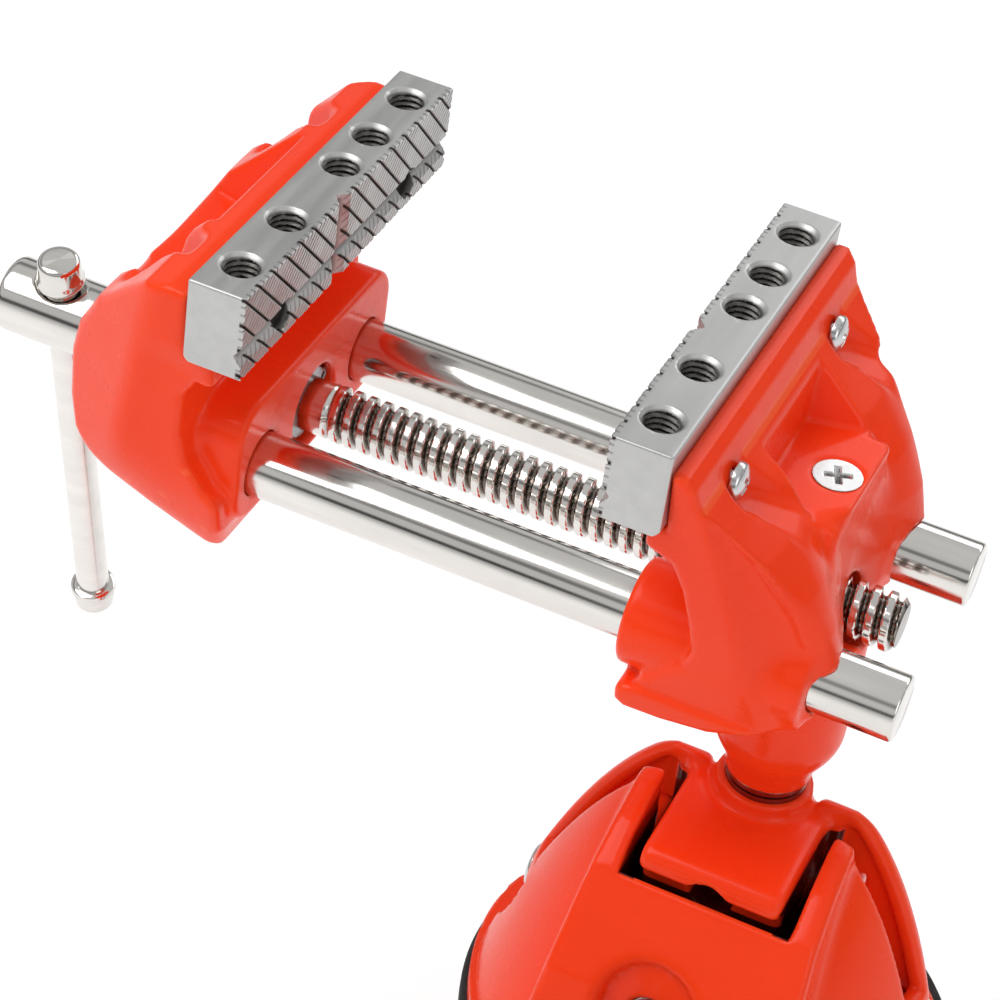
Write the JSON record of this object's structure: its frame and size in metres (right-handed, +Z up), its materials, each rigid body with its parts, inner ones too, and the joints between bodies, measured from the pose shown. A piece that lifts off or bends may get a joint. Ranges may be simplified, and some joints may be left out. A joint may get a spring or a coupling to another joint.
{
  "type": "clamp-on swivel bench vise",
  "caption": "Clamp-on table vise with serrated steel jaw plates on a screw-driven sliding jaw, a swivelling neck and a tilting head in a domed base.",
  "frame": {"origin": "on the swivel axis of the neck, in the plane of the table top under the base pad", "axes": "+Z up along the neck; +X along the lead screw from the moving jaw to the fixed jaw; +Y along the jaw plates, away from the clamp arm"},
  "size_m": [0.182, 0.1048, 0.2405],
  "materials": {
    "casting_paint": "gloss powder coat, orange red",
    "jaw_steel": "ground steel, serrated grip face",
    "plated_steel": "bright nickel plate",
    "screw_steel": "zinc plate",
    "dark_steel": "black oxide",
    "collar_steel": "dark oiled steel",
    "nut_bronze": "turned bronze",
    "insert_brass": "turned brass",
    "knob_plastic": "black, finely textured",
    "base_rubber": "black"
  },
  "bodies": {
    "base": {"base_housing": "casting_paint", "base_rubber_pad": "base_rubber", "pad_screws": "screw_steel", "tilt_axle": "screw_steel"},
    "lock_shoe_body": {"lock_shoe": "insert_brass"},
    "lock_knob_body": {"lock_stud": "screw_steel", "lock_knob": "knob_plastic", "lock_knob_insert": "insert_brass"},
    "tilt_body": {"tilt_head": "casting_paint", "swivel_set_screw": "dark_steel"},
    "vise_head": {"neck_post": "screw_steel", "neck_collar": "collar_steel", "neck_washer": "screw_steel", "neck_clip": "dark_steel", "fixed_jaw_body": "casting_paint", "fixed_jaw_plate": "jaw_steel", "fixed_plate_screws": "screw_steel", "screw_nut": "nut_bronze", "nut_lock_screw": "screw_steel"},
    "carriage": {"moving_jaw_body": "casting_paint", "moving_jaw_plate": "jaw_steel", "moving_plate_screws": "screw_steel", "front_guide_rod": "plated_steel", "rear_guide_rod": "plated_steel", "rod_pins": "dark_steel"},
    "screw_body": {"lead_screw": "plated_steel", "retaining_ring": "dark_steel", "front_thrust_washer": "plated_steel", "rear_thrust_washer": "screw_steel"},
    "handle": {"handle_bar": "plated_steel", "handle_upper_cap": "plated_steel", "handle_lower_cap": "plated_steel"},
    "clamp_pad_body": {"clamp_pad": "screw_steel", "clamp_pad_rubber": "base_rubber"},
    "clamp_screw_body": {"clamp_screw": "plated_steel", "clamp_pad_ring": "dark_steel"},
    "clamp_bar_body": {"clamp_bar": "plated_steel", "clamp_bar_caps": "plated_steel"}
  },
  "joints": [
    {"name": "tilt", "type": "hinge", "parent": "base", "child": "tilt_body", "pos_m": [0, -0.001, 0.022], "axis": [-1, 0, 0], "range_deg": [0, 45]},
    {"name": "swivel", "type": "hinge", "parent": "tilt_body", "child": "vise_head", "pos_m": [0, 0, 0.057], "axis": [0, 0, 1], "continuous": true},
    {"name": "jaw_slide", "type": "slide", "parent": "vise_head", "child": "carriage", "axis": [1, 0, 0], "range_m": [-0.0075, 0.0564]},
    {"name": "screw_turn", "type": "hinge", "parent": "carriage", "child": "screw_body", "pos_m": [-0.0815, 0, 0.098], "axis": [1, 0, 0], "range_deg": [-1081, 8123]},
    {"name": "bar_slide", "type": "slide", "parent": "screw_body", "child": "handle", "axis": [0, -0.2147, 0.9767], "range_m": [0, 0.0636]},
    {"name": "lock_shoe_slide", "type": "slide", "parent": "base", "child": "lock_shoe_body", "axis": [0, -0.9563, 0.2924], "range_m": [-0.0002, 0.003]},
    {"name": "lock_turn", "type": "hinge", "parent": "lock_shoe_body", "child": "lock_knob_body", "pos_m": [-0.003, -0.001, 0.022], "axis": [0, -0.9563, 0.2924], "range_deg": [-59, 865]},
    {"name": "clamp_pad_slide", "type": "slide", "parent": "base", "child": "clamp_pad_body", "axis": [0, 0, 1], "range_m": [-0.014, 0.022]},
    {"name": "clamp_turn", "type": "hinge", "parent": "clamp_pad_body", "child": "clamp_screw_body", "pos_m": [0, 0, -0.06], "axis": [0, 0, 1], "range_deg": [-3362, 5281]},
    {"name": "clamp_bar_slide", "type": "slide", "parent": "clamp_screw_body", "child": "clamp_bar_body", "axis": [1, 0, 0], "range_m": [-0.0206, 0.0206]}
  ],
  "couplings": [
    {"joint": "screw_turn", "follows": "jaw_slide", "rad_per_m": 2513.3},
    {"joint": "lock_turn", "follows": "lock_shoe_slide", "rad_per_m": 5026.5},
    {"joint": "clamp_turn", "follows": "clamp_pad_slide", "rad_per_m": 4188.8}
  ]
}
